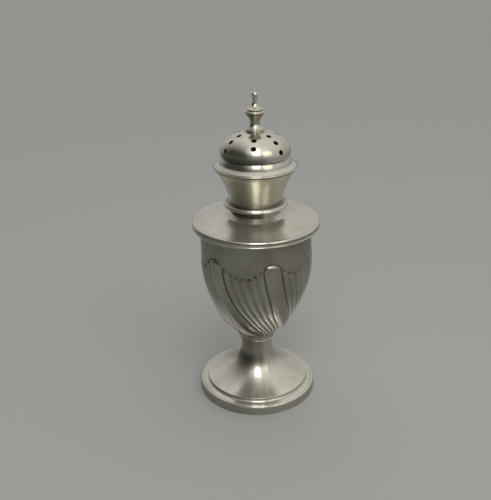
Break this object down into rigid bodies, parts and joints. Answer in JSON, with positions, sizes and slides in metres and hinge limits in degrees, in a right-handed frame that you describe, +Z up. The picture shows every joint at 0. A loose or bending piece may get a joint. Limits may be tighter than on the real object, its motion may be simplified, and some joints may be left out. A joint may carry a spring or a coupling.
{
  "type": "salt shaker",
  "caption": "Urn-shaped silver salt shaker: trumpet foot, bowl with swirled flutes, wide shoulder, and a pull-off cover with a waisted collar, pierced dome and turned finial.",
  "frame": {"origin": "centre of the foot's ring, on the surface it stands on", "axes": "+Z up along the axis it is turned on; the pictured front faces -Y, with +X to its right"},
  "size_m": [0.0518, 0.0518, 0.13],
  "materials": {
    "foot_silver": "satin silver with fine wear",
    "bowl_silver": "chased silver with dark tarnish in the grooves",
    "shoulder_silver": "soft polished silver",
    "cover_silver": "soft polished silver with light yellow tarnish",
    "sleeve_silver": "dull silver, worn by the push fit"
  },
  "bodies": {
    "vessel": {"foot_band": "foot_silver", "foot_moulding": "foot_silver", "foot_dome": "foot_silver", "bowl_boss": "foot_silver", "bowl": "bowl_silver", "bowl_bead": "shoulder_silver", "shoulder": "shoulder_silver", "shoulder_lip": "shoulder_silver", "neck_ring": "shoulder_silver"},
    "cover": {"cover_bezel": "sleeve_silver", "cover_collar": "cover_silver", "girdle": "cover_silver", "girdle_wire": "cover_silver", "dome": "cover_silver", "finial": "cover_silver"}
  },
  "joints": [
    {"name": "cover_lift", "type": "slide", "parent": "vessel", "child": "cover", "axis": [0, 0, 1], "range_m": [0, 0.025]}
  ]
}
